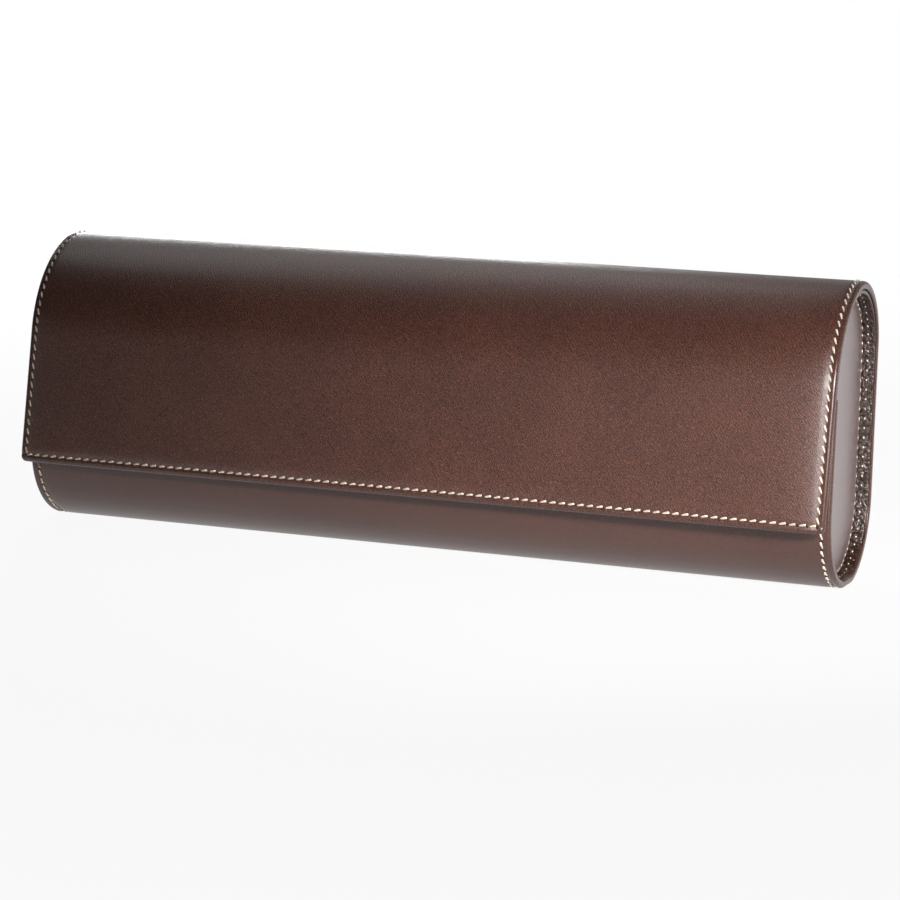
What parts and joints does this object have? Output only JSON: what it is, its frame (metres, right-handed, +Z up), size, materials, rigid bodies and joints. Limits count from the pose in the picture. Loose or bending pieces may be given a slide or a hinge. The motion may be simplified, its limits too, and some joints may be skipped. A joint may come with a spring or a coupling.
{
  "type": "watch storage case",
  "caption": "Long leather watch case with a rounded trough, a stitched wrap-over flap on a leather hinge, recessed end panels and lift-out watch cushions.",
  "frame": {"origin": "middle of the flat that the case stands on", "axes": "+X along the case to the viewer's right, +Y to the back, +Z up"},
  "size_m": [0.3, 0.0665, 0.1038],
  "materials": {
    "leather": "smooth dark brown calf, satin",
    "suede": "soft suede lining",
    "cushion_suede": "soft suede cushion cover",
    "board": "pressed fibre board, hidden",
    "foam": "foam, hidden",
    "magnet": "nickel plated disc, hidden"
  },
  "bodies": {
    "case": {"body_wrap": "leather", "body_board": "board", "body_lining": "suede", "lip_bead": "leather", "hinge_strip": "leather", "wall_magnets": "magnet", "left_end_band": "leather", "left_end_panel": "leather", "left_end_board": "board", "left_end_lining": "suede", "right_end_band": "leather", "right_end_panel": "leather", "right_end_board": "board", "right_end_lining": "suede", "divider_1": "suede", "divider_2": "suede", "divider_3": "suede"},
    "flap": {"flap_leather": "leather", "flap_padding": "foam", "flap_board": "board", "flap_lining": "suede", "flap_magnets": "magnet"},
    "cushion_1": {"cushion_1_cover": "cushion_suede", "cushion_1_core": "foam"},
    "cushion_2": {"cushion_2_cover": "cushion_suede", "cushion_2_core": "foam"},
    "cushion_3": {"cushion_3_cover": "cushion_suede", "cushion_3_core": "foam"},
    "cushion_4": {"cushion_4_cover": "cushion_suede", "cushion_4_core": "foam"}
  },
  "joints": [
    {"name": "flap_hinge", "type": "hinge", "parent": "case", "child": "flap", "pos_m": [0, 0.01948, 0.09809], "axis": [-1, 0, 0], "range_deg": [0, 180], "deforming": ["hinge_strip"]},
    {"name": "cushion_1_lift", "type": "slide", "parent": "case", "child": "cushion_1", "axis": [0, 0, 1], "range_m": [0, 0.025]},
    {"name": "cushion_2_lift", "type": "slide", "parent": "case", "child": "cushion_2", "axis": [0, 0, 1], "range_m": [0, 0.025]},
    {"name": "cushion_3_lift", "type": "slide", "parent": "case", "child": "cushion_3", "axis": [0, 0, 1], "range_m": [0, 0.025]},
    {"name": "cushion_4_lift", "type": "slide", "parent": "case", "child": "cushion_4", "axis": [0, 0, 1], "range_m": [0, 0.025]}
  ]
}
